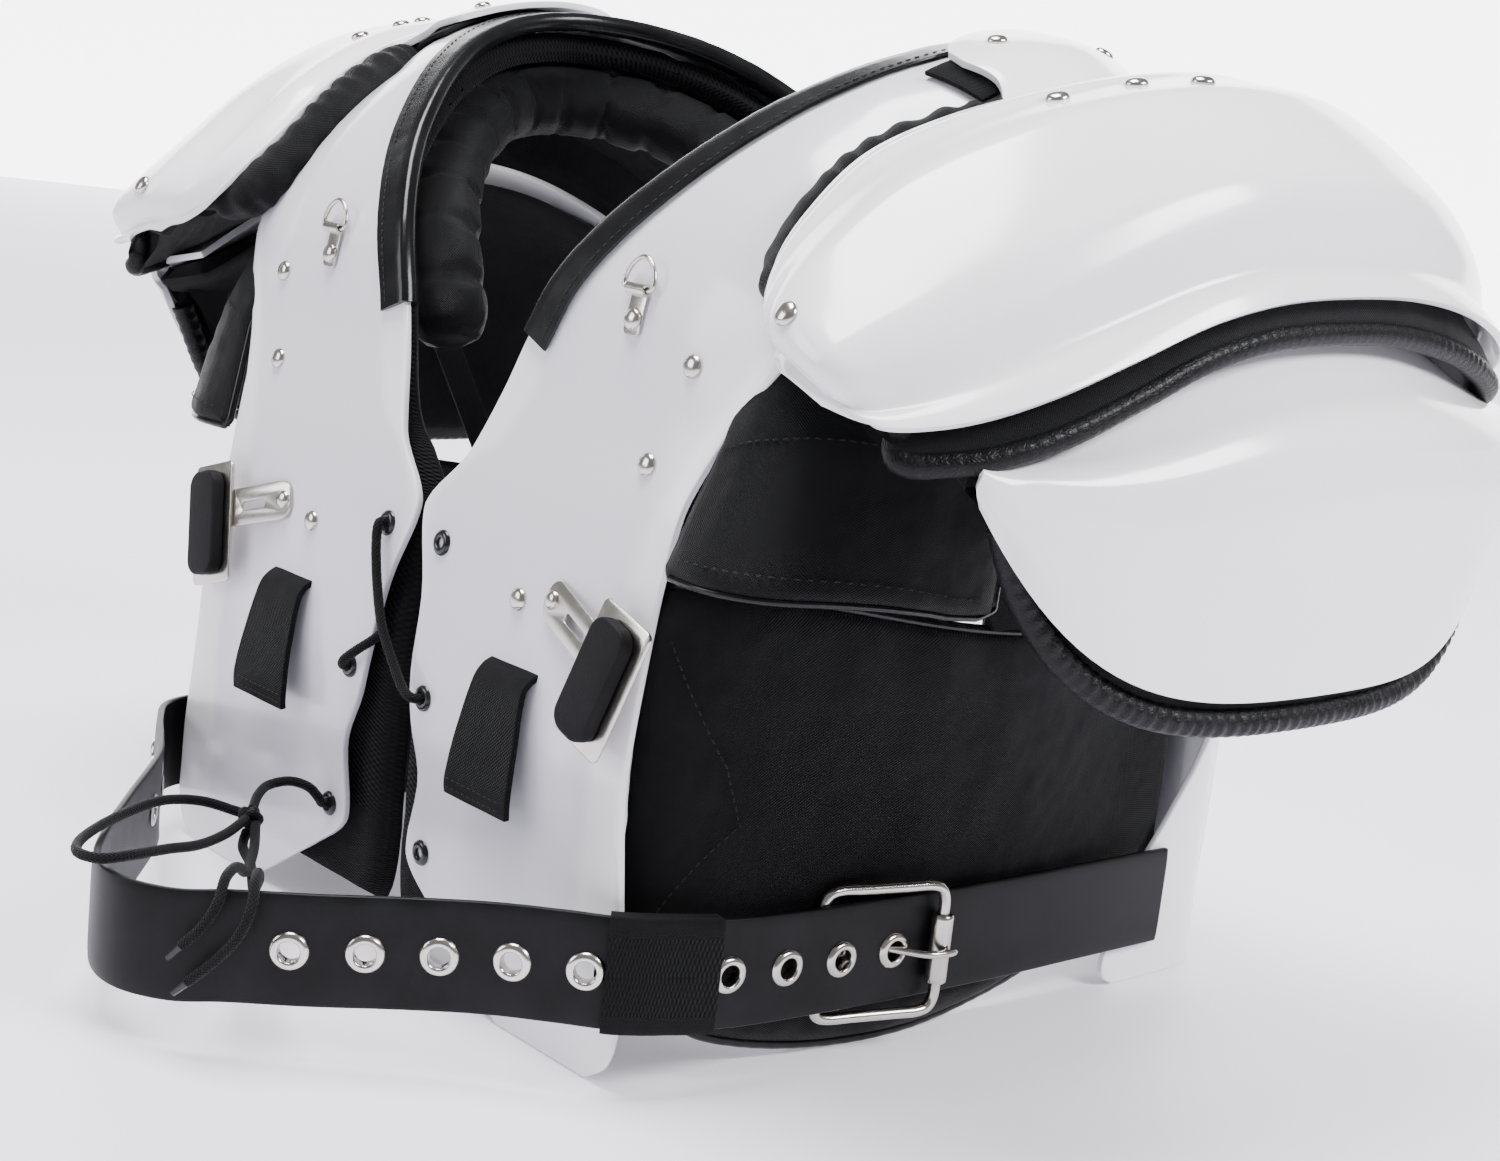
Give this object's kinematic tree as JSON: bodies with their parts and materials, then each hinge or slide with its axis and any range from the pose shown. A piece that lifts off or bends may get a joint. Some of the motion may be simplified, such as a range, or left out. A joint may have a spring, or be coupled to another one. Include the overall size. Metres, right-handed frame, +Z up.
{
  "type": "football shoulder pad",
  "caption": "Football shoulder pads with glossy white arch plates, domed shoulder caps and deltoid cups, black padding, front lacing, strap hooks and a buckled eyelet belt.",
  "frame": {"origin": "middle of the base on the floor, measured without the laces", "axes": "+X to the wearer's left, -Y to the front of the chest, +Z up"},
  "size_m": [0.6276, 0.4993, 0.3962],
  "materials": {
    "shell": "gloss",
    "padding": "matte",
    "vinyl": "semi-gloss",
    "webbing": "matte",
    "cord": "matte",
    "nickel": "polished",
    "rubber": "matte"
  },
  "bodies": {
    "root": {"arch_plate_left": "shell", "arch_plate_right": "shell", "arch_lining_left": "padding", "arch_lining_right": "padding", "neck_binding_left": "vinyl", "neck_binding_right": "vinyl", "neck_roll_left": "padding", "neck_roll_right": "padding", "shoulder_cap_left": "shell", "shoulder_cap_right": "shell", "cap_pad_left": "padding", "cap_pad_right": "padding", "bridge_plate_left": "shell", "bridge_plate_right": "shell", "hinge_strap_left": "webbing", "hinge_strap_right": "webbing", "deltoid_cup_left": "shell", "deltoid_cup_right": "shell", "deltoid_pad_left": "padding", "deltoid_pad_right": "padding", "arm_flap_left": "padding", "arm_flap_right": "padding", "side_pad_left": "padding", "side_pad_right": "padding", "hook_left": "nickel", "hook_right": "nickel", "hook_insert_left": "rubber", "hook_insert_right": "rubber", "web_tab_left": "webbing", "web_tab_right": "webbing", "ring_clip_left": "nickel", "ring_clip_right": "nickel", "arm_strap_left": "webbing", "arm_strap_right": "webbing", "belt": "vinyl", "buckle_strap": "webbing", "belt_keeper": "webbing", "buckle_frame": "nickel", "buckle_roller": "nickel", "buckle_prong": "nickel", "back_link_upper": "webbing", "back_link_lower": "webbing", "lace_upper": "cord", "lace_lower": "cord", "lace_tail": "cord", "lace_bow": "cord", "lace_end_short": "cord", "lace_end_long": "cord", "lace_knot": "cord"},
    "ring_left": {"d_ring_left": "nickel"},
    "ring_right": {"d_ring_right": "nickel"}
  },
  "joints": [
    {"name": "ring_left_swing", "type": "hinge", "parent": "root", "child": "ring_left", "pos_m": [0.10477, -0.08884, 0.28651], "axis": [1, 0, 0], "range_deg": [0, 150]},
    {"name": "ring_right_swing", "type": "hinge", "parent": "root", "child": "ring_right", "pos_m": [-0.10477, -0.08884, 0.28651], "axis": [1, 0, 0], "range_deg": [0, 150]}
  ]
}
